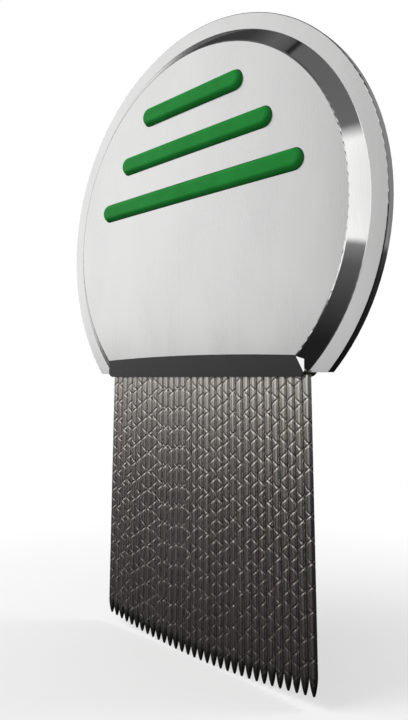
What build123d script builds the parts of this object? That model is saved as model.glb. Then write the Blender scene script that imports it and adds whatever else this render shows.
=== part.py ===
from build123d import *
import os
from math import atan, cos, degrees, hypot

# Round-handled flea comb, standing upright with its teeth down.
# Frame: origin at the centre of the handle disc, on the plane where the two handle shells meet.
# +Z runs up, away from the teeth, +X along the tooth row, and the front of the comb looks to -Y.
# A depth is measured outwards from the plane where the shells meet.

# ---- Handle shells: two pressed sheet-metal halves that meet face to face at their rims ----
handle_diameter = 56.0  # outside of the flat rim
sheet = 0.57  # thickness of one pressed sheet
wall_foot_diameter = 51.95  # where the dome's wall leaves the rim's outer face
plateau_diameter = 48.3  # where the wall reaches the edge of the plateau
half_depth = 1.87  # depth of the plateau's edge
crown = 0.2  # how much further out the middle of the plateau is than its edge
crease_round = 0.35  # outer radius between wall and plateau
foot_round = 0.2  # outer radius between wall and rim
rim_edge_round = 0.1  # broken edge of the rim

# ---- Mouth: the straight bottom of the handle, which holds the teeth ----
mouth_drop = 19.36  # disc centre down to the lip
rim_drop = 18.86  # disc centre down to the straight bottom edge of the rim
mouth_foot_width = 37.9  # between the feet of the mouth's two end walls
end_wall_height = 5.0  # within this height the end walls run up into the round wall
lip_half_depth = 1.2  # depth of the outer edge of the lip
lip_corner_round = 0.8  # the lip's two lower corners
band_height = 2.45  # from the lip up to the plateau's edge, along which the sheet slopes out

# ---- Grip ribs: three bars of one moulding, which come out through slots in both shells ----
rib_heights = (17.67, 11.66, 5.46)  # middle line of each rib above the disc centre
rib_lengths = (18.4, 27.6, 36.6)
rib_width = 2.5
rib_proud = 0.75  # how far a rib stands out past the plateau's edge
rib_edge_round = 0.65
slot_clearance = 0.1  # between a rib and its slot, all round

# ---- Core of the grip moulding, trapped between the shells ----
core_margin = 1.2  # core above the top rib and below the bottom rib
core_rim_gap = 1.4  # from the core's round edge to the inside of the wall
core_clearance = 0.08  # to the inside of each shell at the plateau's edge

# ---- Teeth: round pins that fan out a little ----
tooth_count = 32
tooth_diameter = 1.0
tooth_pitch = 1.123  # at the lip
tip_pitch = 1.183  # at the tips
middle_tooth_length = 37.24  # lip to tip in the middle of the row
tip_arc_rise = 1.41  # how much higher the end tips are than the middle ones
tip_taper = 2.4  # length over which a pin narrows to its nose
nose_radius = 0.16
tooth_seat = 6.5  # pin inside the handle, above the lip
pin_clearance = 0.015  # between a pin and its bore

# ---- Tooth bar: the moulded carrier that fills the mouth ----
bar_height = 8.0
bar_recess = 0.25  # bar's lower face above the lip
bar_clearance = 0.06  # to the inside of the shells
bar_end_margin = 0.25  # bar past the outermost bores
bore_floor_gap = 0.1  # between a pin's flat end and the bottom of its bore

# ---- Values that follow from the sizes above ----
handle_radius = handle_diameter / 2
wall_run = (wall_foot_diameter - plateau_diameter) / 2 / (half_depth - sheet)  # inwards per mm of depth
wall_shift = hypot(1, wall_run)  # sideways shift of a wall that is moved 1 mm square to itself
band_rise = band_height / (half_depth - lip_half_depth)  # upwards per mm of depth
band_shift = hypot(1, band_rise)  # upward shift of a band that is moved 1 mm square to itself
cutter_depth = half_depth + crown + rib_proud + 1  # deeper than anything on one side
middle_tooth = (tooth_count - 1) / 2
fan_run = (tip_pitch - tooth_pitch) / middle_tooth_length  # sideways per tooth and mm of length


def crowned_top(edge_radius, depth):
    """Curved line of the plateau, from its edge to the axis, and the line back along the axis."""
    crest = (0, -depth - crown)
    halfway = (edge_radius / 2, -depth - crown * 3 / 4)
    return ThreePointArc((edge_radius, -depth), halfway, crest) + Line(crest, (0, 0))


def round_body():
    """One shell as a filled solid: a round rim plate with a low dome on it."""
    rim_edge = (handle_radius, -sheet)
    foot = (wall_foot_diameter / 2, -sheet)
    crease = (plateau_diameter / 2, -half_depth)
    side = Polyline((0, 0), (handle_radius, 0), rim_edge, foot, crease)
    section = make_face(side + crowned_top(plateau_diameter / 2, half_depth))
    for corner, radius in ((crease, crease_round), (foot, foot_round), (rim_edge, rim_edge_round)):
        section = fillet(section.vertices().sort_by_distance(corner)[0], radius)
    return revolve(section, axis=Axis.Y)


def wall_place(foot_width, depth, inset):
    """Distance from the middle to a wall at a depth, with the wall moved inwards by inset."""
    return foot_width / 2 - (depth - sheet) * wall_run - inset * wall_shift


def round_cavity(inset):
    """Space under one dome, with every wall moved inwards by inset."""
    depth = half_depth - inset
    edge = wall_place(wall_foot_diameter, depth, inset)
    side = Polyline((0, 0), (wall_place(wall_foot_diameter, 0, inset), 0), (edge, -depth))
    return revolve(make_face(side + crowned_top(edge, depth)), axis=Axis.Y)


def straight_block(right_side, bottom):
    """Block between two end walls, from a height up into the dome. right_side lists the +X wall's points."""
    left_side = [(-x, y) for x, y in reversed(right_side)]
    outline = make_face(Polyline(*right_side, *left_side, close=True))
    return Pos(0, 0, bottom) * extrude(outline, amount=end_wall_height)


def mouth_block():
    """Outside of the mouth, with its two lower corners rounded."""
    foot = mouth_foot_width / 2
    top = wall_place(mouth_foot_width, half_depth, 0)
    block = straight_block([(foot, 0), (foot, -sheet), (top, -half_depth)], -mouth_drop)
    height = end_wall_height * 2
    mask = Rectangle(top * 2 + lip_corner_round * 2, height, align=(Align.CENTER, Align.MIN))
    mask = fillet(mask.vertices().sort_by(Axis.Y)[:2], lip_corner_round)
    return block & Pos(0, 0, -mouth_drop) * extrude(Plane.XZ * mask, amount=cutter_depth)


def mouth_cavity(inset, bottom):
    """Space between the mouth's end walls, moved inwards by inset and open at the bottom."""
    depth = half_depth - inset
    foot = wall_place(mouth_foot_width, 0, inset)
    top = wall_place(mouth_foot_width, depth, inset)
    return straight_block([(foot, 0), (top, -depth)], bottom)


def above_band(inset, bottom):
    """Everything above a height and behind the sloping band, with the band moved inwards by inset."""
    band_start = -mouth_drop + inset * band_shift
    low_depth = lip_half_depth + (bottom - band_start) / band_rise
    high = band_start + (cutter_depth - lip_half_depth) * band_rise
    outline = Polyline(
        (0, bottom),
        (-low_depth, bottom),
        (-cutter_depth, high),
        (-cutter_depth, handle_diameter),
        (0, handle_diameter),
        close=True,
    )
    return extrude(Plane.YZ * make_face(outline), amount=handle_diameter, both=True)


def half_cavity(inset, bottom):
    """Whole inside of one shell, with its walls moved inwards by inset, down to a height."""
    return (round_cavity(inset) + mouth_cavity(inset, bottom)) & above_band(inset, bottom)


def rib_outline(length, clearance):
    return SlotOverall(length + 2 * clearance, rib_width + 2 * clearance)


def front_shell():
    """Front half: a filled body less its inside and the three slots."""
    rim_cut = Pos(0, 0, -rim_drop) * Box(
        handle_diameter * 2,
        cutter_depth * 2,
        handle_diameter,
        align=(Align.CENTER, Align.CENTER, Align.MAX),
    )
    body = (round_body() - rim_cut + mouth_block()) & above_band(0, -mouth_drop)
    shell = body - half_cavity(sheet, -mouth_drop - sheet)
    for height, length in zip(rib_heights, rib_lengths):
        slot = extrude(Plane.XZ * rib_outline(length, slot_clearance), amount=cutter_depth)
        shell -= Pos(0, 0, height) * slot
    return shell


def grip_insert():
    """Core plate between the shells, with the three ribs on both faces of it."""
    core_depth = half_depth - sheet - core_clearance
    core_radius = wall_place(wall_foot_diameter, core_depth, sheet) - core_rim_gap
    core_top = max(rib_heights) + rib_width / 2 + core_margin
    core_bottom = min(rib_heights) - rib_width / 2 - core_margin
    window = Pos(0, (core_top + core_bottom) / 2) * Rectangle(core_radius * 2, core_top - core_bottom)
    insert = extrude(Plane.XZ * (Circle(core_radius) & window), amount=core_depth, both=True)
    for height, length in zip(rib_heights, rib_lengths):
        rib = extrude(Plane.XZ * rib_outline(length, 0), amount=half_depth + rib_proud, both=True)
        ends = rib.faces().sort_by(Axis.Y)
        rib = fillet(ends[0].edges() + ends[-1].edges(), rib_edge_round)
        insert += Pos(0, 0, height) * rib
    return insert


def tooth_place(number):
    """Where a tooth crosses the lip, with its own -Z running down along the tooth."""
    offset = number - middle_tooth
    return Pos(offset * tooth_pitch, 0, -mouth_drop) * Rot(0, -degrees(atan(offset * fan_run)), 0)


def tooth_length(number):
    """Length from the lip to the tip, along the tooth."""
    offset = number - middle_tooth
    drop = middle_tooth_length - tip_arc_rise * (offset / middle_tooth) ** 2
    return drop / cos(atan(offset * fan_run))


def tooth(length):
    """Round pin with a pointed arch for a tip and a small round nose, from its seat down to its tip."""
    radius = tooth_diameter / 2
    shoulder = tip_taper - length
    nose = (0, nose_radius - length)
    rise = tip_taper - nose_radius
    arch_radius = (radius**2 + rise**2 - nose_radius**2) / (2 * (radius - nose_radius))
    lean = nose_radius / (arch_radius - nose_radius)
    nose_start = (nose[0] + (arch_radius - radius) * lean, nose[1] - rise * lean)
    side = Polyline((0, -length), (0, tooth_seat), (radius, tooth_seat), (radius, shoulder))
    arch = TangentArc((radius, shoulder), nose_start, tangent=(0, -1))
    cap = TangentArc((0, -length), nose_start, tangent=(1, 0))
    return revolve(Plane.XZ * make_face(side + arch + cap), axis=Axis.Z)


def tooth_bar():
    """Carrier that follows the inside of the mouth, with one blind bore for each tooth."""
    bottom = bar_recess - mouth_drop
    half_bar = half_cavity(sheet + bar_clearance, bottom)
    row_width = 2 * middle_tooth * tooth_pitch + tooth_diameter + 2 * (pin_clearance + bar_end_margin)
    limits = Box(row_width, cutter_depth * 2, bar_height, align=(Align.CENTER, Align.CENTER, Align.MIN))
    bar = (half_bar + mirror(half_bar, about=Plane.XZ)) & Pos(0, 0, bottom) * limits
    bore = Cylinder(
        tooth_diameter / 2 + pin_clearance,
        tooth_seat + bore_floor_gap + mouth_drop,
        align=(Align.CENTER, Align.CENTER, Align.MIN),
    )
    for number in range(tooth_count):
        bar -= tooth_place(number) * Pos(0, 0, -mouth_drop) * bore
    return bar


os.makedirs("parts", exist_ok=True)
front = front_shell()
export_step(front, "parts/front_shell.step")
export_step(mirror(front, about=Plane.XZ), "parts/rear_shell.step")
export_step(grip_insert(), "parts/grip_insert.step")
export_step(tooth_bar(), "parts/tooth_bar.step")
for number in range(tooth_count):
    pin = tooth_place(number) * tooth(tooth_length(number))
    export_step(pin, f"parts/tooth_{number + 1:02d}.step")
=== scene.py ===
import math
import random

import bpy
import numpy as np
from mathutils import Matrix, Vector


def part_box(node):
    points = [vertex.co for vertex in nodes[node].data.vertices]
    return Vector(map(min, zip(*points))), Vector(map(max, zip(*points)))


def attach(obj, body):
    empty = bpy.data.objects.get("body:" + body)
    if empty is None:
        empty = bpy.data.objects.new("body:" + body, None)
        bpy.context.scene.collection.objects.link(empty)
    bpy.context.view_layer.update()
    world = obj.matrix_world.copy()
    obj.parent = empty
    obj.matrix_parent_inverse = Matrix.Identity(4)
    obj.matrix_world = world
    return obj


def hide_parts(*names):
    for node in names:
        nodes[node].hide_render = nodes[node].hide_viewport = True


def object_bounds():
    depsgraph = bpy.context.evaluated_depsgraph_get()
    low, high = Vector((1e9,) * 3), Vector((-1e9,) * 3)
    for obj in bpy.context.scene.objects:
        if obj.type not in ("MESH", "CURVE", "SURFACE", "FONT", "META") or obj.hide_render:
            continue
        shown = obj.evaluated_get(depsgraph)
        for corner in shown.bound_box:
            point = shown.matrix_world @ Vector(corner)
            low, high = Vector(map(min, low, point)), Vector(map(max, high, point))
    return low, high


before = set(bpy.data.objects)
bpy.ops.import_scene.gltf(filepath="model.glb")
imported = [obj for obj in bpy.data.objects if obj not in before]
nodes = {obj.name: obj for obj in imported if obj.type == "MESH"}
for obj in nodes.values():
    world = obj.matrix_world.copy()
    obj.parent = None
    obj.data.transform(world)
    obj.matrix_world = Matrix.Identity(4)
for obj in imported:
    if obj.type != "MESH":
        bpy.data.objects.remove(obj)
cad_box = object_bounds()

MM = 0.001

# ---- Camera, as seen from the disc's centre (mm and degrees) ----
CAMERA_AT = Vector((58.6, -59.57, -19.87)) * MM
CAMERA_AZIMUTH = 44.05
CAMERA_PITCH = 1.91
CAMERA_ROLL = 0.22
CAMERA_LENS = 31.14
CAMERA_SENSOR = 36
CAMERA_NEAR = 1 * MM

# ---- Pins ----
PIN_SIDES = 32  # corners of a pin's section, and rings in one turn of a groove
GROOVE_PITCH = 2.65 * MM
GROOVE_DEPTH = 0.045 * MM
GROOVE_PROFILE = {0: 1.0, 1: 0.35, 2: -0.08}  # share of the depth, by steps from the groove's middle
DRAWN_LINES = 0.005 * MM  # height of the lengthwise lines left by drawing
GROOVES_PAST_LIP = 0.4 * MM  # how far the close rings run on above the lip
PIN_TAPER = 2.4 * MM  # length over which a pin narrows to its nose
NOSE_RADIUS = 0.16 * MM
NOSE_RINGS = 5
FADE_START = 3 * NOSE_RADIUS  # the grooves and lines begin this far above the tip
FADE_LENGTH = 0.5 * PIN_TAPER  # and reach their full depth over this length
TOP_BEVEL = 0.05 * MM  # broken edge round a pin's flat top
SEED = 7

# ---- Materials ----
NOISE_LOW, NOISE_HIGH = 0.3, 0.7  # part of a noise's range that is spread over the whole effect
WALL_FACING, FLAT_FACING = 0.9, 0.99  # how far a surface faces front or back: sloping wall, flat face
WALL_ROUGHNESS = 0.06

# ---- Floor, in metres: between two distances from the disc's centre it turns from lit to plain white ----
FLOOR_HALF_SIZE = 6.0
FLOOR_LIT = 0.02
FLOOR_WHITE = 0.10
FLOOR_GREY = 0.9

# ---- Lamps: name, direction from the object's middle, width in metres and power in watts ----
LAMP_DISTANCE = 0.6
LAMPS = [
    ("key", (-0.5, -0.75, 0.9), 0.35, 2.2),
    ("back", (0.6, 0.6, 0.9), 0.15, 0.8),
]

# ---- World: strength of its light on matt surfaces, and the studio that gloss reflects ----
MATT_STRENGTH = 0.35
HEIGHT_STOPS = [  # brightness by height: 0 straight down, 0.5 level, 1 straight up
    (0.0, 0.01),
    (0.20, 0.015),
    (0.33, 0.06),
    (0.42, 0.10),
    (0.485, 0.22),
    (0.505, 1.0),
    (0.80, 1.0),
    (0.84, 0.14),
    (1.0, 0.12),
]
BEARING_STOPS = [  # brightness by bearing: 0.5 in front of the comb, more towards +X, 0 and 1 behind it
    (0.0, 0.25),
    (0.25, 0.35),
    (0.33, 0.95),
    (0.355, 0.90),
    (0.405, 0.74),
    (0.42, 0.68),
    (0.433, 0.15),
    (0.45, 0.15),
    (0.465, 1.0),
    (0.61, 1.0),
    (0.64, 0.25),
    (0.75, 0.15),
    (1.0, 0.25),
]

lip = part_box("front_shell")[0].z  # height of the handle's straight lower edge


# ------------------------------------------------------------------ node helpers
def new_material(name):
    material = bpy.data.materials.new(name)
    material.use_nodes = True
    tree = material.node_tree
    shader = tree.nodes["Principled BSDF"]
    return material, tree, shader


def add(tree, kind, **settings):
    """A new node, with its attributes set."""
    node = tree.nodes.new(kind)
    for key, value in settings.items():
        setattr(node, key, value)
    return node


def link(tree, start, end):
    tree.links.new(start, end)


def feed(tree, socket, value):
    """Sets a socket to a number or a colour, or links another node's output to it."""
    if isinstance(value, tuple):
        socket.default_value = (*value, 1)
    elif isinstance(value, (int, float)):
        socket.default_value = value
    else:
        link(tree, value, socket)


def stretched_noise(tree, scale, detail):
    """Noise in the object's own millimetres, with a scale for each axis."""
    place = add(tree, "ShaderNodeTexCoord")
    mapping = add(tree, "ShaderNodeMapping")
    mapping.inputs["Scale"].default_value = [s / MM for s in scale]
    noise = add(tree, "ShaderNodeTexNoise")
    noise.inputs["Scale"].default_value = 1.0
    noise.inputs["Detail"].default_value = detail
    noise.inputs["Roughness"].default_value = 0.6
    link(tree, place.outputs["Object"], mapping.inputs["Vector"])
    link(tree, mapping.outputs["Vector"], noise.inputs["Vector"])
    return noise.outputs["Fac"]


def ranged(tree, value, from_min, from_max, to_min, to_max):
    node = add(tree, "ShaderNodeMapRange")
    names = ("Value", "From Min", "From Max", "To Min", "To Max")
    for name, number in zip(names, (value, from_min, from_max, to_min, to_max)):
        feed(tree, node.inputs[name], number)
    return node.outputs["Result"]


def spread(tree, noise, low, high):
    """A noise's usual range, spread from one number to another."""
    return ranged(tree, noise, NOISE_LOW, NOISE_HIGH, low, high)


def maths(tree, operation, *values):
    node = add(tree, "ShaderNodeMath", operation=operation)
    for socket, value in zip(node.inputs, values):
        feed(tree, socket, value)
    return node.outputs[0]


def blended(tree, factor, low, high):
    node = add(tree, "ShaderNodeMix", data_type="RGBA")
    for name, value in zip(("Factor", "A", "B"), (factor, low, high)):
        feed(tree, node.inputs[name], value)
    return node.outputs["Result"]


def bumped(tree, shader, height, distance):
    bump = add(tree, "ShaderNodeBump")
    bump.inputs["Strength"].default_value = 1.0
    bump.inputs["Distance"].default_value = distance
    link(tree, height, bump.inputs["Height"])
    link(tree, bump.outputs["Normal"], shader.inputs["Normal"])


# ------------------------------------------------------------------ materials
def handle_steel():
    """Polished sheet, with a fine vertical brush on its flat faces and smoother sloping walls."""
    material, tree, shader = new_material("handle_steel")
    shader.inputs["Metallic"].default_value = 1.0
    brush = stretched_noise(tree, (9.0, 9.0, 0.12), detail=4.0)
    cloud = stretched_noise(tree, (0.12, 0.12, 0.06), detail=2.0)
    colour = blended(tree, spread(tree, brush, 0, 1), (0.88, 0.88, 0.875), (0.93, 0.93, 0.925))
    link(tree, colour, shader.inputs["Base Color"])
    facing = add(tree, "ShaderNodeNewGeometry")
    parts = add(tree, "ShaderNodeSeparateXYZ")
    link(tree, facing.outputs["Normal"], parts.inputs[0])
    flat = maths(tree, "ABSOLUTE", parts.outputs["Y"])
    brushed = ranged(tree, maths(tree, "ADD", brush, cloud), 0.7, 1.3, 0.20, 0.30)
    rough = ranged(tree, flat, WALL_FACING, FLAT_FACING, WALL_ROUGHNESS, brushed)
    link(tree, rough, shader.inputs["Roughness"])
    bumped(tree, shader, brush, 0.0004 * MM)
    return material


def tooth_steel():
    """Drawn wire: warmer and darker than the handle, with fine lengthwise lines."""
    material, tree, shader = new_material("tooth_steel")
    shader.inputs["Metallic"].default_value = 1.0
    lines = stretched_noise(tree, (14.0, 14.0, 0.15), detail=4.0)
    colour = blended(tree, spread(tree, lines, 0, 1), (0.62, 0.585, 0.545), (0.86, 0.82, 0.78))
    link(tree, colour, shader.inputs["Base Color"])
    link(tree, spread(tree, lines, 0.16, 0.28), shader.inputs["Roughness"])
    bumped(tree, shader, lines, 0.004 * MM)
    return material


def green_grip():
    """Matt green moulding with a fine grain and faint clouds in its colour."""
    material, tree, shader = new_material("green_grip")
    grain = stretched_noise(tree, (6.0, 6.0, 6.0), detail=3.0)
    cloud = stretched_noise(tree, (0.25, 0.25, 0.25), detail=2.0)
    colour = blended(tree, spread(tree, cloud, 0, 1), (0.004, 0.255, 0.028), (0.006, 0.310, 0.038))
    link(tree, colour, shader.inputs["Base Color"])
    link(tree, spread(tree, grain, 0.42, 0.56), shader.inputs["Roughness"])
    shader.inputs["Specular IOR Level"].default_value = 0.35
    bumped(tree, shader, grain, 0.004 * MM)
    return material


def black_carrier():
    """Black moulding with a fine grain."""
    material, tree, shader = new_material("black_carrier")
    grain = stretched_noise(tree, (5.0, 5.0, 5.0), detail=3.0)
    colour = blended(tree, spread(tree, grain, 0, 1), (0.010, 0.010, 0.010), (0.022, 0.021, 0.020))
    link(tree, colour, shader.inputs["Base Color"])
    link(tree, spread(tree, grain, 0.45, 0.6), shader.inputs["Roughness"])
    bumped(tree, shader, grain, 0.006 * MM)
    return material


# ------------------------------------------------------------------ pins
def pin_line(node):
    """A pin's radius, the middle of its flat top and its tip, from the CAD node's box.

    A pin leans outwards, so its box is one radius wider than its axis at the top on one side,
    and at the shoulder above its tip on the other."""
    low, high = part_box(node)
    radius = (high.y - low.y) / 2
    side = 1 if low.x + high.x > 0 else -1
    inner, outer = (low.x + radius, high.x - radius) if side > 0 else (high.x - radius, low.x + radius)
    shoulder = low.z + PIN_TAPER
    run = (outer - inner) / (high.z - shoulder)
    top = Vector((inner, 0, high.z))
    tip = Vector((outer + run * PIN_TAPER, 0, low.z))
    return radius, top, tip


def pin_radius(height, radius):
    """Radius of a pin at a height above its tip: an arch over the taper, with a round nose."""
    rise = PIN_TAPER - NOSE_RADIUS
    arch = (radius**2 + rise**2 - NOSE_RADIUS**2) / (2 * (radius - NOSE_RADIUS))
    nose_top = NOSE_RADIUS - rise * NOSE_RADIUS / (arch - NOSE_RADIUS)
    below = np.clip(PIN_TAPER - height, 0, None)
    on_arch = radius - arch + np.sqrt(arch**2 - below**2)
    on_nose = np.sqrt(np.clip(NOSE_RADIUS**2 - (NOSE_RADIUS - height) ** 2, 0, None))
    return np.where(height < nose_top, on_nose, on_arch)


def ring_heights(length, grooved):
    """Heights of a pin's rings above its tip: close over the grooved length, and closer in the nose."""
    step = GROOVE_PITCH / PIN_SIDES
    nose = NOSE_RADIUS * (1 - np.cos(np.linspace(0.15, 1, NOSE_RINGS) * math.pi / 2))
    body = np.arange(math.ceil(nose[-1] / step) + 1, math.ceil(grooved / step)) * step
    return np.concatenate([nose, body, [length - TOP_BEVEL, length]])


def groove_depth(heights, first_phase, second_phase):
    """Depth at each ring and corner, in the two grooves that wind round the pin in opposite senses."""
    turn = np.round(heights / (GROOVE_PITCH / PIN_SIDES)).astype(int)[:, None]
    corner = np.arange(PIN_SIDES)[None, :]
    depth = np.zeros((len(heights), PIN_SIDES))
    for sense, phase in ((1, first_phase), (-1, second_phase)):
        steps = (corner + sense * turn + phase) % PIN_SIDES
        steps = np.minimum(steps, PIN_SIDES - steps)
        for distance, share in GROOVE_PROFILE.items():
            here = np.where(steps == distance, share * GROOVE_DEPTH, 0)
            depth = np.where(np.abs(here) > np.abs(depth), here, depth)
    return depth


def pin_mesh(name, radius, top, tip, rng):
    """A pin as rings of corners round its axis, closed by a fan of triangles at each end."""
    axis = (top - tip).normalized()
    length = (top - tip).length
    heights = ring_heights(length, (lip - tip.z) + GROOVES_PAST_LIP)
    depth = groove_depth(heights, rng.randrange(PIN_SIDES), rng.randrange(PIN_SIDES))
    fade = np.clip((heights - FADE_START) / FADE_LENGTH, 0, 1)
    fade[-2:] = 0
    lines = np.array([rng.uniform(-1, 1) for _ in range(PIN_SIDES)]) * DRAWN_LINES
    radii = pin_radius(heights, radius)[:, None] - (depth + lines[None, :]) * fade[:, None]
    radii[-1] -= TOP_BEVEL
    angles = np.arange(PIN_SIDES) * 2 * math.pi / PIN_SIDES
    across = Vector((0, 1, 0)).cross(axis)
    ring = np.cos(angles)[:, None] * np.array(across) + np.sin(angles)[:, None] * np.array((0, 1, 0))
    points = radii[:, :, None] * ring[None] + (np.array(tip) + heights[:, None] * np.array(axis))[:, None, :]
    count = len(heights)
    vertices = np.vstack([points.reshape(-1, 3), np.array(tip)[None], np.array(top)[None]])
    below, above = count * PIN_SIDES, count * PIN_SIDES + 1
    faces = []
    for ring_number in range(count - 1):
        start = ring_number * PIN_SIDES
        upper = start + PIN_SIDES
        for corner in range(PIN_SIDES):
            following = (corner + 1) % PIN_SIDES
            faces.append((start + corner, start + following, upper + following, upper + corner))
    last = (count - 1) * PIN_SIDES
    for corner in range(PIN_SIDES):
        following = (corner + 1) % PIN_SIDES
        faces.append((below, following, corner))
        faces.append((above, last + corner, last + following))
    mesh = bpy.data.meshes.new(name)
    mesh.from_pydata(vertices.tolist(), [], faces)
    mesh.shade_smooth()
    mesh.update()
    return mesh


def make_pins(material):
    """One grooved pin for each tooth of the CAD model, in its place."""
    rng = random.Random(SEED)
    for node in sorted(name for name in nodes if name.startswith("tooth_") and name[6:].isdigit()):
        radius, top, tip = pin_line(node)
        pin = bpy.data.objects.new("pin_" + node[6:], pin_mesh("pin_" + node[6:], radius, top, tip, rng))
        bpy.context.scene.collection.objects.link(pin)
        pin.data.materials.append(material)
        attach(pin, "root")
        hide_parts(node)


# ------------------------------------------------------------------ stage
def make_camera():
    data = bpy.data.cameras.new("camera")
    data.lens = CAMERA_LENS
    data.sensor_width = CAMERA_SENSOR
    data.clip_start = CAMERA_NEAR
    camera = bpy.data.objects.new("camera", data)
    turn = Matrix.Rotation(math.radians(CAMERA_AZIMUTH), 4, "Z")
    turn = turn @ Matrix.Rotation(math.radians(90 + CAMERA_PITCH), 4, "X")
    turn = turn @ Matrix.Rotation(math.radians(CAMERA_ROLL), 4, "Z")
    camera.matrix_world = Matrix.Translation(CAMERA_AT) @ turn
    bpy.context.scene.collection.objects.link(camera)
    bpy.context.scene.camera = camera


def make_floor():
    """Pale floor that keeps the shadow near the comb and is plain white further away."""
    height = cad_box[0].z
    size = FLOOR_HALF_SIZE
    mesh = bpy.data.meshes.new("floor")
    corners = [(-size, -size), (size, -size), (size, size), (-size, size)]
    mesh.from_pydata([(x, y, height) for x, y in corners], [], [(0, 1, 2, 3)])
    floor = bpy.data.objects.new("floor", mesh)
    bpy.context.scene.collection.objects.link(floor)
    material, tree, shader = new_material("floor")
    shader.inputs["Base Color"].default_value = (FLOOR_GREY, FLOOR_GREY, FLOOR_GREY, 1)
    shader.inputs["Roughness"].default_value = 0.9
    shader.inputs["Specular IOR Level"].default_value = 0.0
    mesh.materials.append(material)
    place = add(tree, "ShaderNodeTexCoord")
    reach = add(tree, "ShaderNodeVectorMath", operation="LENGTH")
    link(tree, place.outputs["Object"], reach.inputs[0])
    away = ranged(tree, reach.outputs["Value"], FLOOR_LIT, FLOOR_WHITE, 0, 1)
    glow = add(tree, "ShaderNodeEmission")
    glow.inputs["Strength"].default_value = 1.0
    mixed = add(tree, "ShaderNodeMixShader")
    link(tree, away, mixed.inputs["Fac"])
    link(tree, shader.outputs[0], mixed.inputs[1])
    link(tree, glow.outputs[0], mixed.inputs[2])
    link(tree, mixed.outputs[0], tree.nodes["Material Output"].inputs["Surface"])
    floor.visible_glossy = False
    floor.visible_diffuse = False


def make_light(name, towards, direction, size, power):
    """Round lamp that faces a point and doesn't show in reflections."""
    data = bpy.data.lights.new(name, "AREA")
    data.shape = "DISK"
    data.size = size
    data.energy = power
    lamp = bpy.data.objects.new(name, data)
    place = Vector(direction).normalized() * LAMP_DISTANCE
    lamp.location = towards + place
    lamp.rotation_mode = "QUATERNION"
    lamp.rotation_quaternion = place.to_track_quat("Z", "Y")
    lamp.visible_glossy = False
    bpy.context.scene.collection.objects.link(lamp)


def fill_ramp(node, stops):
    """Gives a colour ramp its stops, from (place, grey) pairs."""
    elements = node.color_ramp.elements
    while len(elements) > 1:
        elements.remove(elements[-1])
    for number, (place, value) in enumerate(stops):
        element = elements[0] if number == 0 else elements.new(place)
        element.position = place
        element.color = (value, value, value, 1)


def make_world():
    """White behind the object. Gloss sees a studio: two bright fields in front, dark above and below."""
    world = bpy.data.worlds.new("studio")
    world.use_nodes = True
    bpy.context.scene.world = world
    tree = world.node_tree
    tree.nodes.clear()
    place = add(tree, "ShaderNodeTexCoord")
    parts = add(tree, "ShaderNodeSeparateXYZ")
    link(tree, place.outputs["Generated"], parts.inputs[0])
    height = ranged(tree, parts.outputs["Z"], -1, 1, 0, 1)
    by_height = add(tree, "ShaderNodeValToRGB")
    fill_ramp(by_height, HEIGHT_STOPS)
    link(tree, height, by_height.inputs["Fac"])
    forward = maths(tree, "MULTIPLY", parts.outputs["Y"], -1.0)
    bearing = maths(tree, "ARCTAN2", parts.outputs["X"], forward)
    turned = ranged(tree, bearing, -math.pi, math.pi, 0, 1)
    by_bearing = add(tree, "ShaderNodeValToRGB")
    fill_ramp(by_bearing, BEARING_STOPS)
    link(tree, turned, by_bearing.inputs["Fac"])
    studio = add(tree, "ShaderNodeMix", data_type="RGBA", blend_type="MULTIPLY")
    studio.inputs["Factor"].default_value = 1.0
    link(tree, by_height.outputs["Color"], studio.inputs["A"])
    link(tree, by_bearing.outputs["Color"], studio.inputs["B"])
    path = add(tree, "ShaderNodeLightPath")
    glossy = add(tree, "ShaderNodeBackground")
    link(tree, studio.outputs["Result"], glossy.inputs["Color"])
    glossy.inputs["Strength"].default_value = 1.0
    plain = add(tree, "ShaderNodeBackground")
    plain.inputs["Color"].default_value = (1, 1, 1, 1)
    plain.inputs["Strength"].default_value = MATT_STRENGTH
    white = add(tree, "ShaderNodeBackground")
    white.inputs["Color"].default_value = (1, 1, 1, 1)
    soft = add(tree, "ShaderNodeMixShader")
    link(tree, path.outputs["Is Glossy Ray"], soft.inputs["Fac"])
    link(tree, plain.outputs[0], soft.inputs[1])
    link(tree, glossy.outputs[0], soft.inputs[2])
    seen = add(tree, "ShaderNodeMixShader")
    link(tree, path.outputs["Is Camera Ray"], seen.inputs["Fac"])
    link(tree, soft.outputs[0], seen.inputs[1])
    link(tree, white.outputs[0], seen.inputs[2])
    output = add(tree, "ShaderNodeOutputWorld")
    link(tree, seen.outputs[0], output.inputs["Surface"])


# ------------------------------------------------------------------ the scene
make_camera()
make_floor()
make_world()
steel = handle_steel()
finishes = {
    "front_shell": steel,
    "rear_shell": steel,
    "grip_insert": green_grip(),
    "tooth_bar": black_carrier(),
}
for name, material in finishes.items():
    nodes[name].data.materials.clear()
    nodes[name].data.materials.append(material)
make_pins(tooth_steel())
middle = (cad_box[0] + cad_box[1]) / 2
for name, direction, size, power in LAMPS:
    make_light(name, middle, direction, size, power)
bpy.context.scene.view_settings.view_transform = "Standard"
